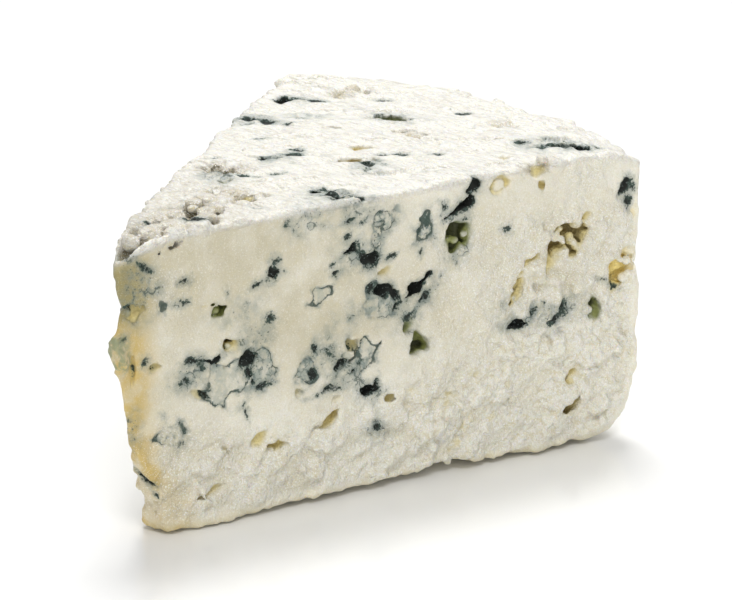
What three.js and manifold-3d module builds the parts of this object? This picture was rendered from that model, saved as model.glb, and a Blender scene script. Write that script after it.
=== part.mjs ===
// A wedge of blue cheese: a piece cut from the lower half of a round wheel.
// The wheel was halved by a level wire cut, which is the flat top, and then cut
// towards its centre twice, which gives the two side faces and the thin tip.
// Units are millimetres, +Z is up, the tip points to -Y and the rind is at +Y.

import * as THREE from 'three';
import { mergeVertices } from 'three/addons/utils/BufferGeometryUtils.js';
import Module from 'manifold-3d';

// Driving dimensions of the wedge.
const wheelRadius = 100; // wheel centre to rind
const halfAngle = THREE.MathUtils.degToRad(22.4); // between the middle line and each side face
const height = 53.5; // base to wire-cut top
const rimSetback = 10; // how far the rounded lower rim draws in at the base
const rimRise = 13; // how high up the rind that rounding reaches
const tipReach = 3; // the side faces meet this far past the wheel's centre at the base
const tipLean = 4.3; // and this much further out at the top
const tipDroop = 2.6; // the top sinks this much at the tip
const tipDroopReach = 13; // and is level again this far from it
const tipBlunt = 3; // length of face worn off the tip's edge
const footBlunt = 12; // length of face worn off it at the base
const footBluntRise = 22; // height over which the foot's wear fades out
const farBow = 1.8; // the far side face bows out this much at its middle
const cornerWear = 1; // length of face worn off each upright rind edge
const topWear = 1.6; // width of the worn edge all round the top
const unevenness = 0.45; // height of the waves left by the cuts and the mould
const footBand = 3; // the waves fade out over this height above the flat base

// How finely the body is divided.
const outlineSteps = 108;
const wallLayers = 14;
const topRings = 7;
const layerCrowding = 0.45; // the wall layers crowd towards the rounded rim by this share
const knobDetail = 1; // how often the facets of a hollow are split
const middle = new THREE.Vector2(0, wheelRadius * 0.6); // where the base and the top close

// Hollows in the paste, open to a face. side is +1 or -1, along is measured
// from the wheel centre towards the rind, up from the base, wide runs along the
// face, tall runs up it, deep goes into the paste, and roll tips it over.
const hollows = [
  { side: 1, along: 15.5, up: 38.5, wide: 4.5, tall: 2.2, deep: 2.5, roll: 10 },
  { side: 1, along: 17, up: 31.5, wide: 6.5, tall: 3.5, deep: 4.5, roll: 20 },
  { side: 1, along: 11, up: 24.5, wide: 4.5, tall: 2.4, deep: 2.5, roll: 0 },
  { side: 1, along: 21, up: 28.5, wide: 2.6, tall: 5, deep: 3, roll: -20 },
  { side: 1, along: 28, up: 27.5, wide: 2.6, tall: 4.6, deep: 3, roll: 15 },
  { side: 1, along: 32, up: 23.5, wide: 3.4, tall: 3.4, deep: 2.5, roll: 0 },
  { side: 1, along: 42, up: 27, wide: 5, tall: 3, deep: 3, roll: 25 },
  { side: 1, along: 53, up: 25.5, wide: 4.4, tall: 4.6, deep: 4, roll: 0 },
  { side: 1, along: 53.5, up: 35.5, wide: 7, tall: 2, deep: 3, roll: 35 },
  { side: 1, along: 61, up: 43, wide: 5, tall: 5.4, deep: 4.5, roll: 0 },
  { side: 1, along: 61.5, up: 48.5, wide: 7, tall: 2.2, deep: 3, roll: 25 },
  { side: 1, along: 74.5, up: 25, wide: 5, tall: 3, deep: 4, roll: 0 },
  { side: 1, along: 75.5, up: 33, wide: 3, tall: 6, deep: 4, roll: -30 },
  { side: 1, along: 84, up: 38.5, wide: 4, tall: 7, deep: 5, roll: -15 },
  { side: 1, along: 91, up: 25.5, wide: 2.6, tall: 3, deep: 4, roll: 0 },
  { side: 1, along: 96, up: 31.5, wide: 4.5, tall: 6, deep: 5, roll: 10 },
  { side: -1, along: 22, up: 36, wide: 5, tall: 4, deep: 4, roll: 15 },
  { side: -1, along: 30, up: 20, wide: 6, tall: 3, deep: 4, roll: -20 },
  { side: -1, along: 44, up: 33, wide: 5, tall: 6, deep: 5, roll: 30 },
  { side: -1, along: 58, up: 24, wide: 6, tall: 4, deep: 4, roll: 0 },
  { side: -1, along: 66, up: 41, wide: 7, tall: 3, deep: 4, roll: 25 },
  { side: -1, along: 82, up: 30, wide: 4, tall: 6, deep: 4, roll: -10 },
];

// A lump of mould that stands out of the tip's edge.
const lump = { up: 34.5, out: 0.6, wide: 5, tall: 6.5, seed: 8 };

const paste = new THREE.MeshStandardMaterial({ color: 0xe6e2d4, roughness: 0.6, metalness: 0 });
paste.name = 'cheese';

// Gentle waves of mixed directions, from long to short, between -1 and 1.
function waves(point) {
  let sum = 0;
  let share = 0.5;
  let length = 46;
  for (let i = 0; i < 6; i += 1) {
    const turn = i * 2.4 + 0.7;
    const across = point.x * Math.cos(turn) + point.y * Math.sin(turn);
    const phase = (across + point.z * Math.cos(turn * 1.7)) / length;
    sum += share * Math.sin(phase * 2 * Math.PI + turn);
    share *= 0.72;
    length *= 0.63;
  }
  return sum;
}

// How far the rind draws in at a height: a quarter of an ellipse at the base.
function rimInset(up) {
  const rest = Math.max(0, 1 - up / rimRise);
  return rimSetback * (1 - Math.sqrt(1 - rest * rest));
}

// Where the two side faces meet at a height.
function tipY(up) {
  return -tipReach - tipLean * up / height;
}

// How much of each side face is worn off at the tip at a height.
function bluntAt(up) {
  const faded = THREE.MathUtils.smoothstep(up, 0, footBluntRise);
  return THREE.MathUtils.lerp(footBlunt, tipBlunt, faded);
}

// The wedge's outline at a height, seen from above and drawn in by inset.
function outlineAt(up, inset) {
  const tip = new THREE.Vector2(0, tipY(up));
  const radius = wheelRadius - rimInset(up);
  const corner = new THREE.Vector2(Math.sin(halfAngle), Math.cos(halfAngle)).multiplyScalar(radius);
  const alongFace = corner.clone().sub(tip).normalize();
  const tipSide = tip.clone().addScaledVector(alongFace, bluntAt(up));
  const faceEnd = corner.clone().addScaledVector(alongFace, -cornerWear);
  const wornAngle = halfAngle - cornerWear / radius;
  const arcStart = Math.PI / 2 - wornAngle;
  const path = new THREE.Path();
  path.moveTo(tipSide.x, tipSide.y);
  path.lineTo(faceEnd.x, faceEnd.y);
  path.quadraticCurveTo(
    corner.x, corner.y,
    radius * Math.cos(arcStart), radius * Math.sin(arcStart),
  );
  path.absarc(0, 0, radius, arcStart, Math.PI - arcStart, false);
  path.quadraticCurveTo(-corner.x, corner.y, -faceEnd.x, faceEnd.y);
  const bow = new THREE.Vector2(-alongFace.y, -alongFace.x).multiplyScalar(2 * farBow);
  bow.add(new THREE.Vector2((-faceEnd.x - tipSide.x) / 2, (faceEnd.y + tipSide.y) / 2));
  path.quadraticCurveTo(bow.x, bow.y, -tipSide.x, tipSide.y);
  path.quadraticCurveTo(tip.x, tip.y, tipSide.x, tipSide.y);
  const points = path.getSpacedPoints(outlineSteps).slice(0, outlineSteps);
  return points.map((point) => drawnIn(point, inset));
}

// The point moved towards the middle of the wedge by inset.
function drawnIn(point, inset) {
  const toMiddle = middle.clone().sub(point).normalize();
  return point.clone().addScaledVector(toMiddle, inset);
}

// The top is level but for the droop at the tip.
function topAt(x, y) {
  const fromTip = Math.hypot(x, y - tipY(height));
  const near = Math.max(0, 1 - fromTip / tipDroopReach);
  return height - tipDroop * near * near * (3 - 2 * near);
}

// The rings of the body, from the middle of the base, up the wall, to the
// middle of the top. The first and last rings are single points.
function bodyRings() {
  const rings = [];
  for (let layer = 0; layer <= wallLayers; layer += 1) {
    const share = layer / wallLayers;
    const up = (height - topWear) * share * (1 - layerCrowding * (1 - share));
    rings.push(outlineAt(up, 0).map((point) => at(point, wallHeight(point, up))));
  }
  const rim = outlineAt(height, topWear);
  for (let ring = 0; ring < topRings; ring += 1) {
    const spread = 1 - ring / topRings;
    const points = rim.map((point) => middle.clone().lerp(point, spread));
    rings.push(points.map((point) => at(point, topAt(point.x, point.y))));
  }
  return { rings, foot: at(middle, 0), crown: at(middle, topAt(middle.x, middle.y)) };
}

// Wall layers follow the drooping top in proportion to their height.
function wallHeight(point, up) {
  return up * topAt(point.x, point.y) / height;
}

function at(point, up) {
  return new THREE.Vector3(point.x, point.y, up);
}

// Joins the rings and the two end points into one closed skin.
function skin({ rings, foot, crown }) {
  const points = [foot, ...rings.flat(), crown];
  const index = [];
  const start = (ring) => 1 + ring * outlineSteps;
  const last = points.length - 1;
  for (let step = 0; step < outlineSteps; step += 1) {
    const next = (step + 1) % outlineSteps;
    index.push(0, start(0) + next, start(0) + step);
    for (let ring = 0; ring < rings.length - 1; ring += 1) {
      const a = start(ring) + step;
      const b = start(ring) + next;
      const c = start(ring + 1) + next;
      const d = start(ring + 1) + step;
      index.push(a, b, c, a, c, d);
    }
    index.push(start(rings.length - 1) + step, start(rings.length - 1) + next, last);
  }
  const geometry = new THREE.BufferGeometry().setFromPoints(points);
  geometry.setIndex(index);
  return geometry;
}

// Lifts the skin in and out by the waves, and keeps the base flat.
function roughened(geometry) {
  geometry.computeVertexNormals();
  const place = geometry.attributes.position;
  const normal = geometry.attributes.normal;
  const point = new THREE.Vector3();
  const out = new THREE.Vector3();
  for (let i = 0; i < place.count; i += 1) {
    point.fromBufferAttribute(place, i);
    out.fromBufferAttribute(normal, i);
    const free = THREE.MathUtils.smoothstep(point.z, 0, footBand);
    point.addScaledVector(out, unevenness * waves(point) * free);
    place.setXYZ(i, point.x, point.y, point.z);
  }
  geometry.deleteAttribute('normal');
  return geometry;
}

// A knobbly ball, stretched to the given half sizes.
function knob(halfX, halfY, halfZ, seed) {
  const ball = new THREE.IcosahedronGeometry(1, knobDetail);
  ball.deleteAttribute('normal');
  ball.deleteAttribute('uv');
  const place = ball.attributes.position;
  for (let i = 0; i < place.count; i += 1) {
    const x = place.getX(i);
    const y = place.getY(i);
    const z = place.getZ(i);
    const lumps = 0.16 * Math.sin(4 * x + seed) * Math.cos(3.4 * y - seed);
    const swell = 1 + lumps + 0.1 * Math.sin(5 * z + 2 * seed);
    place.setXYZ(i, x * swell * halfX, y * swell * halfY, z * swell * halfZ);
  }
  return mergeVertices(ball, 1e-4);
}

// A knob turned and set on a side face, its second axis along the face normal.
function hollowShape(hollow, order) {
  const shape = knob(hollow.wide / 2, hollow.deep, hollow.tall / 2, order);
  shape.rotateY(THREE.MathUtils.degToRad(-hollow.roll) * hollow.side);
  shape.rotateZ(hollow.side * (Math.PI / 2 - halfAngle));
  const x = hollow.side * hollow.along * Math.sin(halfAngle);
  const y = hollow.along * Math.cos(halfAngle);
  shape.translate(x, y, hollow.up);
  return shape;
}

function lumpShape() {
  const shape = knob(lump.wide / 2, lump.wide / 2, lump.tall / 2, lump.seed);
  shape.translate(0, tipY(lump.up) - lump.out + tipBlunt, lump.up);
  return shape;
}

function toSolid(wasm, geometry) {
  return new wasm.Manifold(new wasm.Mesh({
    numProp: 3,
    vertProperties: new Float32Array(geometry.attributes.position.array),
    triVerts: new Uint32Array(geometry.index.array),
  }));
}

function toGeometry(solid) {
  const mesh = solid.getMesh();
  const geometry = new THREE.BufferGeometry();
  geometry.setAttribute('position', new THREE.BufferAttribute(mesh.vertProperties, 3));
  geometry.setIndex(new THREE.BufferAttribute(mesh.triVerts, 1));
  return geometry;
}

// Sets the origin at the middle of the box's base.
function centred(geometry) {
  geometry.computeBoundingBox();
  const { min, max } = geometry.boundingBox;
  return geometry.translate(-(min.x + max.x) / 2, -(min.y + max.y) / 2, -min.z);
}

const wasm = await Module();
wasm.setup();

let body = toSolid(wasm, mergeVertices(roughened(skin(bodyRings())), 1e-5));
body = body.add(toSolid(wasm, lumpShape()));
hollows.forEach((hollow, order) => {
  body = body.subtract(toSolid(wasm, hollowShape(hollow, order + 1)));
});

const wedge = new THREE.Mesh(centred(toGeometry(body)), paste);
wedge.name = 'cheese_wedge';

const group = new THREE.Group();
group.name = 'blue_cheese_wedge';
group.add(wedge);

export default group;
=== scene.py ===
import math
import bmesh
import bpy
import numpy as np
import openvdb
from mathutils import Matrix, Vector


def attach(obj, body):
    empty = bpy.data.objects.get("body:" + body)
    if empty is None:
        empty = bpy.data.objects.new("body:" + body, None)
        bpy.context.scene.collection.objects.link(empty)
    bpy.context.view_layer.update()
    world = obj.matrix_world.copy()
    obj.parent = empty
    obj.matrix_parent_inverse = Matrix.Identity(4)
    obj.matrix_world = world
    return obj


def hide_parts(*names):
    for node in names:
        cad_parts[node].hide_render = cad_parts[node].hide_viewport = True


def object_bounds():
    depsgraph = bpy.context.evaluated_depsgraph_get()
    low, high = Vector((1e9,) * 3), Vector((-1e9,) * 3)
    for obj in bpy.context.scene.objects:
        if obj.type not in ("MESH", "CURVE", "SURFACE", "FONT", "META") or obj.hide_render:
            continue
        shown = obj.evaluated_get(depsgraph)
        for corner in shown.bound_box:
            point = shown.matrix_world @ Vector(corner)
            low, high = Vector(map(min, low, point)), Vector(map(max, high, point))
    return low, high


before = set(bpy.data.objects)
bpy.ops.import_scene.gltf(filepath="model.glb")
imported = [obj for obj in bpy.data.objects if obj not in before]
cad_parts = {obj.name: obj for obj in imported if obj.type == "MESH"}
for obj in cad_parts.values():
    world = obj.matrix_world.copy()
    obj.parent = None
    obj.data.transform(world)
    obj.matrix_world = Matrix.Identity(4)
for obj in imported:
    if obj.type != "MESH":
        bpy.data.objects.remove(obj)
cadLow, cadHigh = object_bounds()
print("frame loaded")

# The wedge is worked out in millimetres, with the wheel's centre line at x = 0, y = wheelY.
mmPerMetre = 1000.0
wedge = {
    "halfAngle": 22.4,  # degrees from the middle line to each side face
    "tipReach": 3.0,  # the side faces meet this far past the wheel's centre at the base
    "tipLean": 4.3,  # and this much further out at the top
    "tipStandsOut": 5.95,  # how far the worn tip reaches past the wheel's centre in the frame
    "farBow": 1.8,  # how far the far side face bows out at its middle
    "topSlack": 0.7,  # room left inside the frame for the bumps, over the top
    "rindSlack": 0.15,  # and round the rind
    "rimSetback": 11.2,  # how far the rounded lower rim draws in
    "rimRise": 14.5,  # how high that rounding reaches
    "tipDroop": 2.6,  # how far the top sinks at the tip
    "tipDroopReach": 14.0,
    "cornerDroop": 3.2,  # and at the near rind corner
    "cornerDroopReach": 12.0,
    "rimDroop": 1.8,  # and towards the rind on the near side
    "rimDroopReach": 30.0,
    "rimDroopWidth": 9.0,
    "rimDroopStart": 6.0,
    "topEdge": 1.1,  # worn roundness of each kind of edge
    "tipEdge": 0.6,
    "rindEdge": 1.5,
    "baseEdge": 0.3,
    "powderReach": 42.0,  # how far from the tip the top is powdery
    "voxel": 0.36,  # grain of the grid that it is carved in
    "quickVoxel": 0.486,
    "nothingNear": 6.0,  # stands for a long way off
    "frameMargin": 0.05,  # nothing comes nearer than this to the frame's sides and top
    "mostTriangles": 192000,
    "seed": 11,
}
# How far the tip is worn back from the line where the two side faces meet, at each height.
tipWear = {0: 7.2, 5: 7, 11: 5, 17: 2.4, 24: 0.8, 30: 0.3, 38: 0.7, 41: 3.2, 44: 1.5, 50: 1.6, 60: 1.6}
low = np.array(cadLow) * mmPerMetre
high = np.array(cadHigh) * mmPerMetre
wheelRadius = high[1] - low[1] - wedge["tipStandsOut"]
wheelY = high[1] - wheelRadius
fullHeight = high[2] - wedge["topSlack"]
halfAngle = math.radians(wedge["halfAngle"])
cornerX, cornerY = wheelRadius * math.sin(halfAngle), wheelRadius * math.cos(halfAngle)


def smoothStep(value, start, end):
    t = np.clip((value - start) / (end - start), 0, 1)
    return t * t * (3 - 2 * t)


def softMax(a, b, roundness):
    gap = np.maximum(roundness - np.abs(a - b), 0)
    return np.maximum(a, b) + gap * gap / (4 * roundness)


def tipLine(z):
    return wedge["tipReach"] + wedge["tipLean"] * z / fullHeight


# Distances from the clean-cut wedge's faces, positive outside, one array for each face.
def faceDistances(x, y, z):
    y = y - wheelY
    lean = tipLine(z)
    angle = np.arctan2(cornerX, cornerY + lean)
    inward = (y + lean) * np.sin(angle)
    front = x * np.cos(angle) - inward
    share = np.clip(y / wheelRadius, 0, 1)
    back = -x * np.cos(angle) - inward - 4 * wedge["farBow"] * share * (1 - share)
    tip = np.interp(z, list(tipWear), list(tipWear.values())) - lean - y + 0 * x
    reach = np.hypot(x, y) + wedge["rindSlack"]
    setback, rise = wedge["rimSetback"], wedge["rimRise"]
    rimAcross = np.maximum(reach - (wheelRadius - setback), 0) / setback
    rimDown = np.maximum(rise - z, 0) / rise
    rind = (np.hypot(rimAcross, rimDown) - 1) * setback
    nearTip = np.clip(1 - np.hypot(x, y + tipLine(fullHeight)) / wedge["tipDroopReach"], 0, 1)
    nearCorner = np.clip(1 - np.hypot(x - cornerX, y - cornerY) / wedge["cornerDroopReach"], 0, 1)
    fromFace = np.maximum(cornerX * y - cornerY * x, 0) / wheelRadius
    nearRim = np.clip(1 - fromFace / wedge["rimDroopReach"], 0, 1)
    nearRim = nearRim * smoothStep(np.hypot(x, y), wheelRadius - wedge["rimDroopWidth"], wheelRadius)
    nearRim = nearRim * smoothStep(fromFace, 0, wedge["rimDroopStart"])
    droop = wedge["tipDroop"] * nearTip ** 2 * (3 - 2 * nearTip) + wedge["cornerDroop"] * nearCorner ** 2
    top = z - fullHeight + droop + wedge["rimDroop"] * nearRim
    return {"front": front, "back": back, "tip": tip, "rind": rind, "top": top, "base": -z + 0 * x}


# The wedge without its base, which stays flat whatever the relief does.
def wallsAndTop(faces):
    sides = softMax(faces["front"], faces["back"], wedge["tipEdge"])
    sides = softMax(sides, faces["tip"], wedge["tipEdge"])
    sides = softMax(sides, faces["rind"], wedge["rindEdge"])
    return softMax(sides, faces["top"], wedge["topEdge"])


# The dense grid that the wedge is carved in.
voxel = wedge["voxel"]
gridPad = 4 * voxel  # room all round for the surface to close in
gridStart = low - gridPad
gridCount = np.ceil((high - low + 2 * gridPad) / voxel).astype(int) + 1
gx, gy, gz = (gridStart[i] + voxel * np.arange(gridCount[i]) for i in range(3))
gx = gx.astype(np.float32)[:, None, None]
gy = gy.astype(np.float32)[None, :, None]
gz = gz.astype(np.float32)[None, None, :]


def gridIn(window):
    return gx[window[0]], gy[:, window[1]], gz[:, :, window[2]]


# The part of the grid round a place.
def windowRound(middle, reach):
    a = np.clip(((middle - reach - gridStart) / voxel).astype(int), 0, gridCount)
    b = np.clip(((middle + reach - gridStart) / voxel).astype(int) + 2, 0, gridCount)
    return tuple(slice(a[i], b[i]) for i in range(3))


def seeded(number):
    return np.random.default_rng(wedge["seed"] * 1000 + number)


# Smooth noise of about unit strength on the grid: a random lattice spread by cubic
# B-splines along each axis in turn. cell is its grain in mm.
def gridNoise(cell, seed):
    rng = seeded(seed)
    spreads = []
    for i in range(3):
        at = np.arange(gridCount[i]) * voxel / cell
        knots = int(at[-1]) + 4
        t = np.abs(at[:, None] + 1 - np.arange(knots)[None, :])
        near = 2 / 3 - t * t + t * t * t / 2
        far = np.clip(2 - t, 0, 2) ** 3 / 6
        spreads.append(np.where(t < 1, near, far).astype(np.float32))
    field = rng.standard_normal([s.shape[1] for s in spreads]).astype(np.float32)
    field = np.tensordot(spreads[0], field, (1, 0))
    field = np.tensordot(field, spreads[1], (1, 1))
    field = np.tensordot(field, spreads[2], (1, 1))
    return field / field.std()


# Rounded curd grains: 1 in the middle of each grain, falling to about 0 between them.
def curdGrains(cell, seed, shell):
    rng = seeded(seed)
    counts = np.ceil((high - low) / cell).astype(int) + 1
    places = np.stack(np.meshgrid(*[np.arange(n) for n in counts], indexing="ij"), -1).reshape(-1, 3)
    places = low + (places + rng.random(places.shape)) * cell
    sizes = 0.75 + 0.5 * rng.random(len(places))
    index = np.clip(((places - gridStart) / voxel).round().astype(int), 0, gridCount - 1)
    keep = np.abs(shell[index[:, 0], index[:, 1], index[:, 2]]) < cell * 1.3
    field = np.full(shell.shape, wedge["nothingNear"], np.float32)
    span = int(math.ceil(cell * 1.15 / voxel))
    for place, size, middle in zip(places[keep], sizes[keep], index[keep]):
        a = np.maximum(middle - span, 0)
        b = np.minimum(middle + span + 1, gridCount)
        window = tuple(slice(a[i], b[i]) for i in range(3))
        dx, dy, dz = ((along - at) ** 2 for along, at in zip(gridIn(window), place))
        part = field[window]
        np.minimum(part, (dx + dy + dz) / (cell * cell * size * size), out=part)
    return 1 - np.clip(field, 0, 1.3)


# Long noise drawn out along one direction of a flat face. Each scale is its length, width
# and height in mm.
def drawnOut(along, across, scales, seed):
    rng = seeded(seed)
    total, most, wide = 0, 64, 256  # the lattice is this long and wide before it repeats
    for length, width, height in scales:
        lattice = rng.standard_normal((most, wide)).astype(np.float32)
        u, v = along / length + most // 2, across / width + wide // 2
        iu, iv = np.floor(u).astype(np.int32), np.floor(v).astype(np.int32)
        fu, fv = smoothStep(u - iu, 0, 1), smoothStep(v - iv, 0, 1)
        ends = []
        for row in (iu % most, (iu + 1) % most):
            ends.append(lattice[row, iv % wide] * (1 - fv) + lattice[row, (iv + 1) % wide] * fv)
        total = total + height * (ends[0] * (1 - fu) + ends[1] * fu)
    return total


# What each kind of hole or mould mark is like. grow is how much larger than listed it is
# cut, depth how far it goes in as a share of its width (0 leaves the face whole), groove the
# depth of the crack round it in mm, haze how strongly mould has smeared over and around it,
# soft how far in mm, and rag how torn its outline is.
markKinds = {
    kind: dict(zip(("grow", "depth", "groove", "haze", "soft", "rag"), values))
    for kind, *values in (
        ("slot", 1.1, 1.3, 0, 0.6, 1.6, 1.3),
        ("olive", 1.4, 1.4, 0, 0.5, 1.5, 1.4),
        ("bare", 1.35, 1.2, 0, 0, 1, 1.5),
        ("amber", 1.3, 0.8, 0, 0, 1, 1.3),
        ("block", 1.05, 0, 0.6, 0.4, 1.2, 2),
        ("spot", 0.95, 0, 0.4, 0.4, 1.2, 1.3),
        ("smear", 1.1, 0, 0, 0.9, 2.4, 1.6),
        ("crumbs", 1.4, 0, 0, 0, 1, 1),
    )
}

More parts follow.
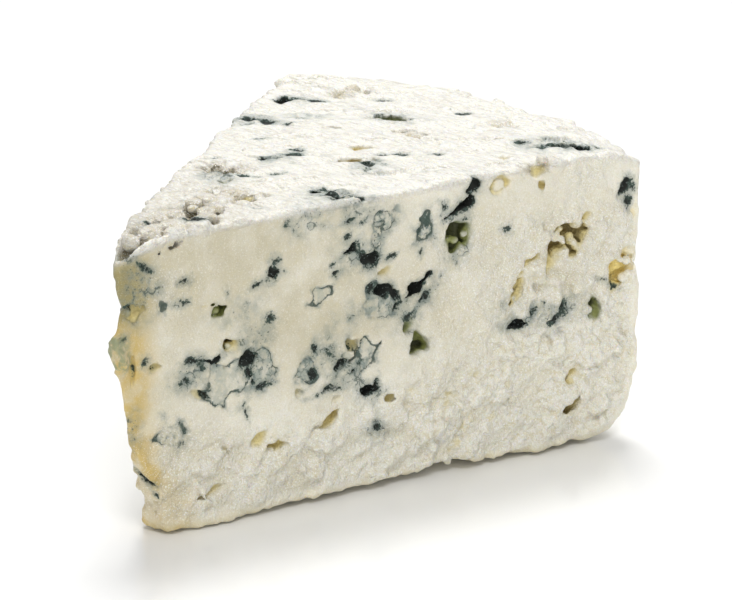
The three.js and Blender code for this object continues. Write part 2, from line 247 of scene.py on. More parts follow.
# Marks on the two side faces: kind, along from the wheel's centre, up from the base, width and
# height in mm, and roll in degrees where there is any (positive lifts the rind end).
frontMarks = [
    ("smear", 0.5, 46, 8, 4, -35), ("spot", 1.2, 47.8, 3.4, 1, -35), ("block", 3.8, 40.3, 1.9, 2),
    ("smear", -1, 43, 3.5, 6), ("spot", -2.6, 41.5, 1.6, 0.6, 20), ("spot", 7.7, 40.4, 3, 0.9),
    ("olive", 15.4, 38.2, 4.4, 2.3, 20), ("bare", 12.7, 39.1, 2.8, 1), ("spot", 16.4, 41, 0.6, 1.6, 15),
    ("spot", 8.3, 44.2, 0.9, 0.5), ("slot", 25.2, 42.6, 3, 1.4, 10), ("spot", 22.4, 41.5, 3.6, 0.7, 25),
    ("spot", 26, 44.5, 0.6, 0.7), ("spot", 24.8, 35.2, 0.9, 0.9), ("block", 34, 37.7, 3, 2.6),
    ("smear", 20.5, 38, 5, 1.6, 10), ("smear", 30.8, 51, 7, 3.6, 10),
    ("spot", 27.8, 50.8, 1.8, 0.9, 60), ("smear", 41.8, 50.6, 5, 4.2, 30),
    ("spot", 39.8, 49.4, 1.8, 0.5, 20), ("spot", 42.8, 48.9, 1.6, 0.5, 30),
    ("smear", 47.2, 47, 5.4, 3.4, 25), ("block", 47.2, 47, 5, 3, 25),
    ("block", 54.7, 45.9, 2.6, 3.8, -15), ("smear", 54.7, 45.8, 3, 3.6, -15),
    ("slot", 40.4, 44.6, 2.8, 1, 35), ("spot", 42.2, 43.4, 4.4, 0.9, -35), ("slot", 44, 41.9, 2.4, 1.7),
    ("spot", 36.5, 42.2, 1.9, 0.8, 35), ("spot", 38.6, 43.8, 2.6, 0.6, 10),
    ("spot", 37.3, 40.9, 2, 0.7, 15), ("smear", 41, 43, 8, 4, -10), ("spot", 48.6, 41.8, 1.6, 0.5, 20),
    ("spot", 39.6, 46.6, 1.4, 0.5, 50), ("slot", 53.4, 35.1, 7.2, 2, 34), ("smear", 56, 34.2, 6, 3, 34),
    ("spot", 55.6, 33.9, 2.6, 1.6, 40), ("block", 46.2, 33.8, 5, 4.8), ("slot", 47, 36.2, 3.4, 1.7, 10),
    ("smear", 46.4, 33.6, 5, 4.5), ("slot", 49.2, 35, 2.6, 1.2, -40), ("smear", 40.2, 32.6, 2.6, 3),
    ("spot", 40.2, 32.4, 1.6, 0.8, 30), ("spot", 51.7, 30.4, 2.4, 1.5, 30),
    ("smear", 51.6, 30.6, 4, 2.6, 20), ("spot", 44.4, 36.6, 2, 0.8, 60),
    ("slot", 62.6, 48.1, 5.6, 2.3, 28), ("spot", 59, 48.7, 2.4, 1.4, -50),
    ("smear", 60.4, 47.4, 6, 3, 30), ("slot", 65.2, 51.2, 2.8, 2.2, 20),
    ("olive", 61.2, 43.2, 4.4, 4, 20), ("smear", 61.3, 40, 4, 2, 15), ("spot", 72, 42.4, 1.9, 0.9, -20),
    ("spot", 54.3, 41.6, 0.6, 1), ("spot", 63.6, 45.8, 1.2, 0.6), ("olive", 53.2, 25.2, 4.2, 4.6, -20),
    ("olive", 52, 28.4, 1.8, 3, -25), ("bare", 40.8, 27.4, 3.6, 1.8, 40),
    ("spot", 40, 27.6, 1.7, 0.6, -45), ("block", 43.2, 25.6, 3.4, 5, -10), ("smear", 36, 26.6, 7, 5),
    ("spot", 36.4, 26.4, 2.8, 1, -50), ("spot", 33.2, 28.4, 0.8, 1.6), ("block", 31.9, 23.6, 3.6, 3.4),
    ("spot", 33.2, 23.4, 1.4, 2.6, -20), ("smear", 31.6, 23.4, 2.6, 2.6),
    ("slot", 38.2, 24.3, 2.4, 1, 30), ("slot", 40.3, 22.4, 2.6, 0.9, 30), ("smear", 41, 23, 5, 3, 20),
    ("slot", 37.4, 20.1, 3, 0.8), ("spot", 41.8, 24, 1.6, 0.6, -20), ("spot", 34.8, 19.7, 3.8, 0.45, 8),
    ("spot", 39.8, 20.9, 2.2, 0.5, 30), ("slot", 44, 18.7, 3.4, 1.4, -10),
    ("spot", 45.7, 19.9, 0.8, 2.2, -15), ("smear", 44.2, 18.6, 4.4, 2.4),
    ("block", 16.4, 25.8, 8.6, 7, 12), ("slot", 14.8, 29.6, 3.2, 2.2),
    ("bare", 17.6, 31.2, 3.6, 2.6, -40), ("slot", 20.4, 28.6, 2.2, 2.8, 15),
    ("smear", 23.4, 26, 4.4, 6), ("block", 23.2, 26, 4.6, 5.8, -8), ("slot", 21, 25.6, 1, 3.2, 20),
    ("spot", 23, 23.2, 4.6, 0.8, 8), ("spot", 12.4, 25.4, 0.9, 4, 10),
    ("spot", 9.4, 30.2, 3.6, 0.7, -8), ("spot", 12, 28.4, 2.6, 0.9, -50), ("smear", 11, 29.4, 4, 3),
    ("spot", 8.4, 26.6, 2, 0.9), ("smear", 9, 26.5, 4, 2.2), ("bare", 11, 24, 2.2, 1.2, -25),
    ("smear", 20, 31.4, 7, 3.4), ("spot", 19.3, 20.6, 1.6, 0.7, 40), ("spot", 19.9, 19.4, 0.7, 2, 20),
    ("spot", 18.3, 20.2, 0.9, 0.8), ("block", 5.2, 18.4, 5, 3.4, 15), ("spot", 7.5, 19.4, 0.9, 2, 25),
    ("spot", 4.2, 21.3, 0.6, 0.5), ("spot", 8.5, 15.4, 0.6, 0.5), ("spot", 0.6, 31.6, 0.8, 0.8),
    ("slot", 74.8, 24.7, 3.6, 1.5, 10), ("spot", 77.2, 26.2, 3, 0.7, 45),
    ("spot", 79.6, 27.6, 1.8, 0.6, -50), ("smear", 80, 25.2, 11, 4), ("spot", 82, 24.4, 3, 0.6, 20),
    ("spot", 84.6, 25.4, 1, 1.8, 30), ("slot", 81, 26.8, 1.4, 1), ("olive", 90.6, 25.1, 2.4, 2.8, -30),
    ("smear", 87.8, 26.5, 2, 2.4), ("spot", 93.5, 28.8, 4, 0.5, -30), ("smear", 72.4, 28.8, 1.6, 1.4),
    ("slot", 96, 46, 2, 2.2, 10), ("spot", 98, 45.6, 1.6, 1.8, -25), ("spot", 97.2, 43.4, 0.6, 2, -10),
    ("bare", 85.2, 38.6, 6, 5, 30), ("bare", 88.2, 41.8, 2, 1, 30), ("bare", 83, 38, 2.2, 1.6),
    ("bare", 74.6, 32.2, 1.8, 5.4, -22), ("bare", 76.4, 35.6, 3.8, 1.4, 30),
    ("bare", 81.6, 34.6, 2.8, 0.9, 40), ("amber", 96, 30.6, 3.4, 5, -25),
    ("amber", 97.2, 33.4, 3, 1.8, 35), ("amber", 98.4, 41, 1, 3, -12), ("bare", 70.8, 50.6, 2.4, 1.6),
    ("bare", 79.8, 52.4, 3.4, 2, 20), ("bare", 79.2, 49, 1.4, 1.4), ("bare", 27.4, 27.3, 1.2, 4, 8),
    ("bare", 35.9, 14.6, 3.4, 1.5, 12), ("bare", 38.4, 16.4, 2.4, 1, 40),
    ("bare", 37.9, 18.3, 1.6, 1, 30), ("bare", 26.3, 11.9, 3.2, 1.7, 10),
    ("bare", 22.6, 13.2, 2, 1, 45), ("bare", 17, 13.2, 2, 0.7, 15), ("bare", 48.7, 16.2, 1, 0.8),
    ("bare", 51.7, 14.1, 1.7, 1.1, 20), ("bare", 53, 16.8, 1.5, 0.7, 20),
    ("bare", 61.6, 14.5, 2.4, 1.4, -20), ("bare", 60.2, 13.2, 1, 1.2), ("bare", 63, 6.4, 1.4, 3, -20),
    ("bare", 85.1, 17.6, 0.9, 0.9), ("bare", 85.9, 12.6, 1.6, 2.4, -35),
    ("bare", 86.5, 8.4, 2, 4.6, -40), ("bare", 66.4, 17.4, 0.9, 0.6), ("bare", 69.9, 9.2, 1, 2.4, -8),
    ("bare", 62.4, 1, 4, 1.5), ("bare", 69, 0.6, 2.4, 1), ("bare", 12.2, 5.6, 3.6, 0.8, 15),
    ("bare", 30, 21, 1.2, 1), ("bare", 55.6, 46.6, 0.5, 0.4), ("bare", 47.4, 39.4, 1.8, 0.7, 15),
    ("bare", 2.4, 30.2, 1.6, 0.9), ("bare", 6.2, 12.8, 1.2, 0.9), ("amber", -1.6, 31.6, 1.2, 5),
    ("spot", 46, 11.7, 0.8, 2.4, 20), ("smear", 45.6, 11.7, 3, 2.6), ("spot", -3.6, 36.4, 2.4, 0.8, 20),
    ("bare", -0.6, 40.6, 2.6, 1.6),
]
# The far side was cut from the same wheel, so it has the same kinds in the same belt.
backMarks = [
    ("slot", 14, 36, 4.2, 2.2, 20), ("smear", 16, 35, 8, 4, 10), ("block", 9, 29, 3.2, 2.6),
    ("slot", 22, 30, 3.4, 3), ("block", 27, 26, 7.4, 6, -10), ("smear", 24, 28, 12, 6),
    ("olive", 31.6, 29.6, 2.4, 3.4, 15), ("spot", 30, 22.6, 4.4, 0.9, 12),
    ("bare", 20, 20, 2.8, 1.6, 30), ("slot", 43, 38, 6.2, 1.8, 30), ("smear", 45, 37, 9, 4, 20),
    ("spot", 39, 41, 3.4, 0.8, -25), ("block", 50, 44, 4.6, 3.4, 20), ("smear", 50, 44, 5, 4, 20),
    ("olive", 57, 40.6, 4.4, 4), ("slot", 37, 31, 2.6, 1.6, -20), ("smear", 40, 25, 8, 5),
    ("block", 41, 24.6, 3.2, 3.2), ("olive", 49, 27, 4.2, 3.4, 25), ("bare", 51, 30.4, 1.8, 3.2, -20),
    ("spot", 55, 33, 2.6, 1, 15), ("slot", 66, 30, 3.4, 2.6), ("smear", 68, 30, 10, 4.6),
    ("spot", 71.6, 31.4, 2.4, 0.8, -35), ("slot", 76, 45.6, 5.2, 1.9, 22),
    ("smear", 75, 44.6, 7, 4, 20), ("block", 82, 37, 4.6, 4), ("bare", 70, 38, 3.6, 5, 20),
    ("bare", 83, 27, 3, 4.6, -20), ("bare", 88, 41, 3, 3.2, 15), ("bare", 60, 21, 2.6, 1.6),
    ("bare", 34, 14, 2.8, 1.4, 20), ("bare", 47, 12, 1.8, 1.2), ("bare", 75, 14, 2.2, 1.4, 20),
    ("bare", 24, 9, 2.4, 1.2, -15), ("smear", 33, 46, 7, 4), ("spot", 33, 46, 2.2, 0.9, 30),
    ("smear", 64, 48, 6, 4, 20), ("spot", 64, 47, 1.8, 1.1, 30), ("slot", 92, 24, 2.4, 2.6),
    ("spot", 94, 43, 2.2, 2), ("smear", 92, 33, 4, 4), ("spot", 12, 18, 1.4, 0.8, 20),
    ("spot", 55, 17, 1.2, 0.8), ("slot", 60, 26.4, 2, 1.4), ("spot", 18, 33, 3, 0.7, -20),
    ("spot", 46, 34.6, 3.2, 0.8, 30), ("spot", 68.6, 28, 3.6, 0.6, 10), ("slot", 25, 41, 2.6, 1, 30),
    ("spot", 60, 37, 2, 0.8, -30), ("spot", 35.6, 24, 2.8, 0.7, 40),
]
# Marks on the cut top: kind, place across and along the wedge from the wheel's centre, width,
# length, turn.
topMarks = [
    ("slot", -28.4, 76.6, 2.4, 4, 35), ("spot", -27.3, 78.8, 4, 1, 35),
    ("spot", -24.3, 80.9, 3, 0.8, 30), ("smear", -25.7, 78.9, 7, 2.4, 35),
    ("spot", -25.7, 63.3, 4.6, 1.1, 38), ("spot", -22.8, 64.9, 2.4, 1.6, 38),
    ("smear", -25.7, 63.1, 8, 3, 38), ("spot", -28.5, 60.3, 3.4, 0.7, 38),
    ("spot", -23.8, 66.9, 3, 0.6, 30), ("olive", -6.3, 79.5, 3.2, 2.6, 30),
    ("smear", -5.7, 79.9, 7, 5, 30), ("spot", -14.9, 80, 1.4, 1.2, 30), ("slot", -10, 47, 3, 2.4, 35),
    ("slot", -7.8, 48, 1.8, 1.6, 35), ("spot", -6.7, 51.7, 3.4, 1, 35),
    ("spot", -8.8, 54.4, 2.4, 1, 30), ("spot", -3.6, 47, 1.8, 1.4, 30), ("smear", -7, 49.9, 8, 5, 35),
    ("bare", 3.3, 55.7, 4.6, 2.2, 35), ("slot", 7.4, 54.2, 2.6, 2.6, 35),
    ("spot", 9.1, 51.6, 2.2, 1.4, 20), ("spot", 6, 56.3, 2.4, 0.9, 35), ("spot", 7.4, 64, 3, 1, 30),
    ("spot", 5.3, 61.7, 1.6, 0.7, 30), ("smear", 7.9, 54.2, 5, 5, 30), ("crumbs", 1.8, 74.6, 7, 4, 35),
    ("bare", 14.8, 78.7, 4.4, 2.4, 35), ("bare", -1.1, 61.6, 3.4, 1.6, 35),
    ("spot", 20.7, 81.5, 3, 0.9, 38), ("spot", 22.4, 84.9, 2.4, 1.4, 30),
    ("slot", 25.9, 82.6, 2.6, 1.6, 30), ("slot", 29.4, 85.4, 2.4, 2.2, 30),
    ("spot", 25.4, 86.6, 3.4, 0.9, 38), ("spot", 27.9, 83.4, 2.4, 1.2, 20),
    ("spot", 23.7, 82.5, 1.8, 1, 50), ("spot", 31.2, 87.5, 1.8, 0.8, 30),
    ("smear", 25.3, 83.5, 11, 6, 35), ("spot", 24.5, 80.3, 2.4, 0.8, 20),
    ("crumbs", 30.9, 72.1, 5, 7, 30), ("slot", -10.6, 36.2, 3.4, 1.1, 35),
    ("olive", -7.6, 31.9, 3.4, 2, 35), ("smear", -8.7, 33.8, 6, 5, 35),
    ("crumbs", -11.6, 37.6, 9, 6, 35), ("spot", -5.8, 36.5, 3, 0.8, 35),
    ("spot", -1.5, 41.6, 2.4, 0.8, 35), ("crumbs", -0.2, 26.6, 9, 6, 35),
    ("bare", 0.6, 28.4, 2.8, 1.6, 30), ("slot", 8.6, 36.5, 2.6, 2.2, 38),
    ("slot", 11.8, 36.1, 2.6, 1.8, 30), ("slot", 14.3, 34.9, 2.6, 1.6, 35),
    ("spot", 10, 39.2, 2.8, 0.9, 30), ("slot", 16.2, 39.4, 2.6, 1.6, 30),
    ("spot", 13.8, 36.9, 2.4, 0.9, 50), ("spot", 18.1, 41.2, 2, 0.8, 35),
    ("crumbs", 14.8, 38.3, 6, 4, 35), ("smear", 12.2, 37.3, 9, 6, 35),
    ("spot", 6.2, 23.9, 2.4, 0.9, 30), ("slot", 4, 11, 3.4, 2.2, 35), ("crumbs", 1.8, -1, 8, 8),
    ("crumbs", 1.4, 6.4, 10, 9), ("crumbs", 1.2, 12.5, 8, 8), ("crumbs", -0.8, 18.5, 6, 7),
    ("spot", 2.2, 10.6, 2.4, 0.9, 30), ("spot", 6.5, 3.7, 2.2, 0.8, 30),
    ("spot", -1.7, 5.4, 2.4, 0.9, 30), ("spot", -17.2, 55.7, 2.4, 0.8, 30),
    ("spot", -14.8, 87.7, 2.6, 0.8, 35), ("spot", 12.6, 66.3, 2.2, 0.8, 30),
    ("crumbs", -21.8, 87.6, 7, 4, 30), ("spot", 1.1, 90, 2.2, 0.7, 30),
    ("bare", 22.9, 72.5, 2.6, 1.1, 30), ("spot", 17.4, 57.8, 1.8, 0.7, 35),
    ("spot", -16.3, 41.7, 2.4, 0.7, 35), ("smear", -19.5, 71.6, 8, 2.4, 38),
    ("crumbs", 10.2, 88.2, 6, 3, 35), ("bare", -11.4, 67.8, 2.8, 1.2, 35),
    ("spot", -17.8, 66.4, 2, 0.7, 35),
]
# Marks on the blunt end of the tip: kind, across, up, width, height, roll.
tipMarks = [
    ("slot", 0.6, 10.2, 4, 0.8, -34), ("spot", -1.2, 12.2, 2.4, 0.8, -50),
    ("spot", 1.8, 7.4, 2.2, 0.9, -50), ("bare", 1, 6, 1.4, 1.6), ("bare", 0.2, 3.6, 1.4, 3.2, 10),
    ("bare", -1.8, 6.6, 1, 2.4), ("smear", -0.4, 47, 1.6, 6), ("smear", -0.6, 20, 3, 3),
]
# Marks on the rind: kind, degrees round from the middle line, up, width, height, roll.
rindMarks = [
    ("bare", -15, 36, 2.4, 1.8), ("spot", -9, 22, 2.6, 1.4, 20), ("smear", -9, 23, 8, 5),
    ("bare", -4, 41, 1.8, 1.4, 30), ("spot", 3, 33, 2.2, 1.6), ("smear", 4, 32, 7, 5),
    ("bare", 8, 17, 3, 1.6, -20), ("slot", 12, 29, 2, 1.6), ("bare", 16, 44, 1.6, 1.4),
    ("spot", 19, 25, 1.6, 1.2, 30), ("bare", -18, 15, 2.4, 1.4, 20), ("smear", -14, 45, 9, 3),
    ("bare", 1, 9, 3.2, 1.6, 10), ("bare", -10, 8, 2.2, 1.4), ("spot", 14, 10, 1.4, 1),
]


depthLimits = 0.8, 3.2  # the shallowest and deepest that a hole is cut, in mm
xAxis, yAxis, zAxis = np.eye(3)


# A mark's middle, its three axes (along, up, out of the face) and its half sizes.
def markBody(face, kind, first, second, width, height, roll=0):
    turn = math.radians(roll)
    width, height = width * markKinds[kind]["grow"], height * markKinds[kind]["grow"]
    if face == "top":
        middle = np.array([first, second + wheelY, fullHeight])
        along, up, out = xAxis, yAxis, zAxis
    elif face == "tip":
        middle = np.array([first, wheelY, second])
        along, up, out = xAxis, zAxis, -yAxis
    elif face == "rind":
        angle = math.radians(first)
        out = np.array([math.sin(angle), math.cos(angle), 0])
        along, up = np.array([math.cos(angle), -math.sin(angle), 0]), zAxis
        middle = out * wheelRadius + np.array([0, wheelY, second])
    else:
        side = 1 if face == "front" else -1
        along = np.array([side * math.sin(halfAngle), math.cos(halfAngle), 0])
        out = np.array([side * math.cos(halfAngle), -math.sin(halfAngle), 0])
        up = zAxis
        middle = along * first + np.array([0, wheelY, second])
    middle = middle - out * faceDistances(*middle)[face]
    rolledAlong = along * math.cos(turn) + up * math.sin(turn)
    rolledUp = up * math.cos(turn) - along * math.sin(turn)
    acrossIt = 0.4 * max(width, height) + 0.6 * min(width, height)
    depth = max(markKinds[kind]["depth"], 0.6) * 0.5 * acrossIt
    halves = np.array([width / 2, height / 2, np.clip(depth, *depthLimits)])
    return middle, np.stack([rolledAlong, rolledUp, out]), halves


marks = []
lists = {"front": frontMarks, "back": backMarks, "top": topMarks, "tip": tipMarks, "rind": rindMarks}
for face, rows in lists.items():
    for row in rows:
        marks.append((row[0],) + markBody(face, *row))


# About the distance from a mark. A block of curd is round and everything else is drawn out
# to a point at both ends, with steep walls. tatter pushes the outline in and out.
def markDistance(mark, x, y, z, tatter):
    kind, middle, axes, halves = mark
    dx, dy, dz = x - middle[0], y - middle[1], z - middle[2]
    q = [(axes[i][0] * dx + axes[i][1] * dy + axes[i][2] * dz) / halves[i] for i in range(3)]
    if kind == "block":
        shape = np.sqrt(sum(q[i] ** 2 for i in range(3))) + 1e-4
        slope = sum((q[i] / halves[i]) ** 2 for i in range(3))
        slope = np.sqrt(slope) / shape + 1e-4
    else:
        first, second = (0, 1) if halves[0] >= halves[1] else (1, 0)
        lens = 0.65 * q[first] ** 2 + 0.35 * np.abs(q[first]) + np.abs(q[second])
        shape = np.sqrt(lens * lens + q[2] ** 4) + 1e-4
        slope = np.hypot(1 / halves[second], (1.3 * np.abs(q[first]) + 0.35) / halves[first])
        slope = np.hypot(slope * lens, 2 * np.abs(q[2]) ** 3 / halves[2]) / shape + 0.08
    rag = markKinds[kind]["rag"] * min(1.0, 0.4 + 0.35 * float(halves[:2].min()))
    return (shape - 1) / slope + rag * tatter


# How far along its side face a place is, from the wheel's centre line towards the rind.
def alongFace(x, y):
    return np.abs(x) * math.sin(halfAngle) + (y - wheelY) * math.cos(halfAngle)


# How crumbly the paste is, from 0 where the wire left it smooth to 1 where it tore: most in the
# lower part and towards the rind, little on the top, at the tip and on the rind itself.
def crumbliness(x, y, z, faces, drift, patches):
    along = alongFace(x, y)
    lower = smoothStep(z + 3 * drift, 24, 13)
    rindward = 0.8 * smoothStep(along + 6 * drift, 48, 78) * smoothStep(z + 2 * drift, 50, 40)
    fromTip = np.hypot(x, y - wheelY + tipLine(z) - 2)
    tip = smoothStep(fromTip, 9, 3)
    patchy = 0.5 * smoothStep(patches, 0.5, 1.4)
    total = np.clip(0.2 + 0.85 * lower + rindward + patchy, 0, 1.3) * (1 - 0.6 * tip)
    onTop = smoothStep(faces["top"], -2.0, -0.6)
    total = total * (1 - onTop) + 0.3 * onTop
    return total * (1 - 0.75 * smoothStep(faces["rind"], -3.0, -0.8))


faces = faceDistances(gx, gy, gz)
shell = np.maximum(wallsAndTop(faces), faces["base"]).astype(np.float32)
print("clean wedge on a grid of", tuple(int(n) for n in gridCount))

drift, patches = gridNoise(15, 1), gridNoise(11, 2)
coarse, fine = gridNoise(1.9, 3), gridNoise(0.95, 4)
middleGrains = curdGrains(2.0, 12, shell)
tatter = 0.2 * gridNoise(3.0, 17) + 0.27 * coarse + 0.2 * fine + 1.0 * (middleGrains - 0.71)
tatter = 1.2 * np.tanh(tatter / 1.2)
crumble = crumbliness(gx, gy, gz, faces, drift, patches).astype(np.float32)


# The part of the grid round a mark and the distance from the mark there.
def gapRound(mark, margin):
    window = windowRound(mark[1], float(mark[3].max()) + margin)
    return window, markDistance(mark, *gridIn(window), tatter[window])


# The torn patches of the top, kept off its rim.
pits = np.zeros(shell.shape, np.float32)
for mark in marks:
    if mark[0] == "crumbs":
        window, gap = gapRound(mark, margin=1.5)
        pits[window] = np.maximum(pits[window], smoothStep(gap, 0.6, -1.2))
pits *= smoothStep(-np.maximum(np.maximum(faces["front"], faces["back"]), faces["tip"]), 0.2, 1.2)

# Loose rounded crumbs, in the torn patches of the top and on the floors of the larger hollows:
# their smallest and largest radius, how many to each square mm of the mark's half sizes, how far
# down they lie and how much of the mark's width they take up.
looseCrumbs = {
    kind: dict(zip(("smallest", "largest", "count", "down", "widest"), values))
    for kind, *values in (
        ("crumbs", 1.1, 2.4, 0.42, 0.1, 1),
        ("bare", 0.6, 1.3, 0.6, 1.2, 0.8),
        ("amber", 0.5, 1, 0.5, 1, 0.9),
        ("olive", 0.5, 1.2, 0.5, 1.3, 0.8),
    )
}
crumbSink, crumbNeck = 1.5, 0.15  # how far the patches sink and how softly the crumbs join them
crumbPile, crumbRag = 0.7, 0.4  # how high the crumbs are piled and how torn they are
crumbLift = {"rise": 0.8, "start": 38, "full": 28}  # they stand prouder near the tip
rimRoom = 0.9  # and stay this far in from the rim
crumbGap = np.full(shell.shape, wedge["nothingNear"], np.float32)
rng = seeded(41)
for mark in marks:
    if mark[0] not in looseCrumbs:
        continue
    crumb = looseCrumbs[mark[0]]
    middle, axes, halves = mark[1:]
    for i in range(int(halves[0] * halves[1] * crumb["count"])):
        turn, share, lift, size = rng.random(4)
        turn, share = math.tau * turn, crumb["widest"] * math.sqrt(share)
        radius = crumb["smallest"] + (crumb["largest"] - crumb["smallest"]) * size ** 1.5
        wide, tall = axes[0] * halves[0], axes[1] * halves[1]
        place = middle + share * (wide * math.cos(turn) + tall * math.sin(turn))
        if mark[0] == "crumbs":
            if max(faceDistances(*place)[side] for side in ("front", "back", "tip")) > -rimRoom:
                continue
            fromTip = math.hypot(place[0], place[1] - low[1])
            place[2] += min(fullHeight - middle[2], 1.0)
            place[2] += crumbLift["rise"] * smoothStep(fromTip, crumbLift["start"], crumbLift["full"])
        place = place - axes[2] * (radius + crumb["down"] - crumbPile * lift)
        window = windowRound(place, radius + 1.0)
        dx, dy, dz = (line - at for line, at in zip(gridIn(window), place))
        gap = np.sqrt(dx * dx + dy * dy + 1.3 * dz * dz) - radius + crumbRag * tatter[window]
        crumbGap[window] = np.minimum(crumbGap[window], gap)
crumble = np.maximum(crumble, 1.25 * pits)

# The slant at which the sides tore and the way that the wire went over the top.
along = alongFace(gx, gy)
slant, wire = math.radians(38), math.radians(35)
alongTear = along * math.cos(slant) + gz * math.sin(slant)
acrossTear = gz * math.cos(slant) - along * math.sin(slant)
drawnSides = drawnOut(alongTear, acrossTear, ((14, 3.0, 0.2), (7, 1.5, 0.13)), 21)
alongWire = gx * math.cos(wire) + gy * math.sin(wire) + 0.8 * coarse[:, :, -8:-7]
acrossWire = gy * math.cos(wire) - gx * math.sin(wire) + 0.5 * coarse[:, :, -8:-7]
drawnTop = drawnOut(alongWire, acrossWire, ((30, 4.4, 0.2), (16, 2.2, 0.14), (8, 1.3, 0.1)), 22)
flaps = drawnOut(alongWire, acrossWire, ((7.0, 2.2, 1.0), (3.4, 1.1, 0.5)), 23)
drawnTop = drawnTop - 0.55 * smoothStep(flaps, 0.75, 1.0) + 0.2 * smoothStep(flaps, -0.5, -0.3)

# Height in mm of the swellings, the ledges and the rounded curds of four sizes, less the cracks.
ledges = smoothStep(gridNoise(7, 13), 0.1, 0.3) + 0.6 * smoothStep(gridNoise(4.2, 14), 0.4, 0.6)
curdRelief = crumble * (0.3 * gridNoise(3.6, 7) + 0.2 * coarse + 0.16 * fine + 0.5 * (ledges - 0.5))
rindward = smoothStep(along + 5 * drift, 46, 74) * (1 - smoothStep(faces["rind"], -3.0, -1.0))
smallGrains = curdGrains(1.2, 9, shell)
usualGrain = 0.75  # about the middle value of the grains, so they add as much as they take
for grains, height in (
    (curdGrains(3.4, 8, shell), crumble * 0.8),
    (curdGrains(5.6, 16, shell), crumble * rindward * 0.9),
    (middleGrains, 0.1 + 0.8 * crumble),
    (smallGrains, crumble * 0.65),
):
    curdRelief += height * (grains - usualGrain)
curdRelief -= crumble * 0.45 * np.clip(gridNoise(1.5, 10) - 1.4, 0, 1.6)
onTop = smoothStep(faces["top"], -1.6, -0.6)
curdRelief *= 1 - 0.4 * onTop * (1 - pits)
softFloor, give = -0.2, 0.5  # below the floor it sinks ever less, so the torn parts don't crater
sunkPart = give * np.tanh((curdRelief - softFloor) / give) + softFloor
curdRelief = np.where(curdRelief < softFloor, sunkPart, curdRelief)

# Fine loose curd on the top near the tip, and the sunk torn patches.
fromTipTop = np.hypot(gx, gy - wheelY + tipLine(fullHeight))
powder = smoothStep(fromTipTop + 4 * drift, wedge["powderReach"], 0.4 * wedge["powderReach"]) * onTop
powder *= smoothStep(-faces["front"], 0.8, 2.4)
curdRelief += powder * (0.6 * (smallGrains - usualGrain) + 0.07 * fine)
curdRelief += pits * (0.6 * (middleGrains - usualGrain) - crumbSink)
curdRelief = curdRelief.astype(np.float32)
waves = 0.26 * gridNoise(26, 5) + 0.13 * gridNoise(9, 6) - 0.1
waves += crumble * drawnSides * (1 - onTop) + drawnTop * onTop * (1 - 0.7 * pits)
solid = wallsAndTop(faces).astype(np.float32) - curdRelief - waves.astype(np.float32)
print("curd relief made")

# A lump of mouldy curd stands out of the tip, joined to it by a soft neck.
tipLump = {"up": 33.6, "reach": 4.7, "half": (2.2, 2.4, 3.0), "neck": 1.2, "rag": 1.1}


def lumpDistance(x, y, z, tatter):
    middleY = wheelY - tipLump["reach"]
    hx, hy, hz = tipLump["half"]
    reach = np.sqrt((x / hx) ** 2 + ((y - middleY) / hy) ** 2 + ((z - tipLump["up"]) / hz) ** 2)
    return (reach - 1) * min(tipLump["half"]) + tipLump["rag"] * tatter


solid = -softMax(-solid, -lumpDistance(gx, gy, gz, tatter), tipLump["neck"])

# Hollows with sharp rims, a crack round each block of curd and a shallow dip at each spot.
holeRim, crackWidth = 0.1, 0.5
for mark in marks:
    kind = markKinds[mark[0]]
    if not kind["depth"] and not kind["groove"]:
        continue
    window, gap = gapRound(mark, margin=2.6)
    if kind["depth"]:
        solid[window] = softMax(solid[window], -gap, holeRim)
    elif mark[0] == "block":
        solid[window] += kind["groove"] * np.clip(1 - np.abs(gap) / crackWidth, 0, 1)
    else:
        solid[window] += kind["groove"] * smoothStep(gap, 0.3, -0.3)
solid = -softMax(-solid, -crumbGap, crumbNeck)
print(len(marks), "holes and mould marks set")

# Small nicks along the edge of the base, which is flat, and nothing stands proud of the frame.
nick = {"length": 3.4, "depth": 1.1, "reach": 2.6}
nicks = np.clip(gridNoise(nick["length"], 31) + 0.5 * coarse - 0.7, 0, 1.2)
solid += smoothStep(gz, nick["reach"], 0.2) * nicks * nick["depth"]
solid = softMax(solid, faces["base"].astype(np.float32), wedge["baseEdge"])
margin = wedge["frameMargin"]
for axis, line in enumerate((gx, gy, gz)):
    under = low[axis] - line + (margin if axis < 2 else 0)
    solid = np.maximum(solid, np.maximum(under, line - high[axis] + margin))


# Values of a grid field at scattered places, in mm.
def sampled(field, places):
    at = (places - gridStart) / voxel
    cell = np.clip(np.floor(at).astype(int), 0, gridCount - 2)
    t = (at - cell).astype(np.float32)
    total = np.zeros(len(places), np.float32)
    for corner in np.ndindex(2, 2, 2):
        share = np.prod([t[:, i] if corner[i] else 1 - t[:, i] for i in range(3)], axis=0)
        total += share * field[tuple(cell[:, i] + corner[i] for i in range(3))]
    return total


def meshFromGrid(name, field):
    grid = openvdb.FloatGrid(background=float(3 * voxel))
    grid.copyFromArray(np.clip(field, -3 * voxel, 3 * voxel).astype(np.float32))
    points, triangles, quads = grid.convertToPolygons(isovalue=0.0, adaptivity=0.0)
    points = (points * voxel + gridStart) / mmPerMetre
    mesh = bpy.data.meshes.new(name)
    mesh.from_pydata(points.tolist(), [], quads.tolist() + triangles.tolist())
    mesh.validate()
    return mesh


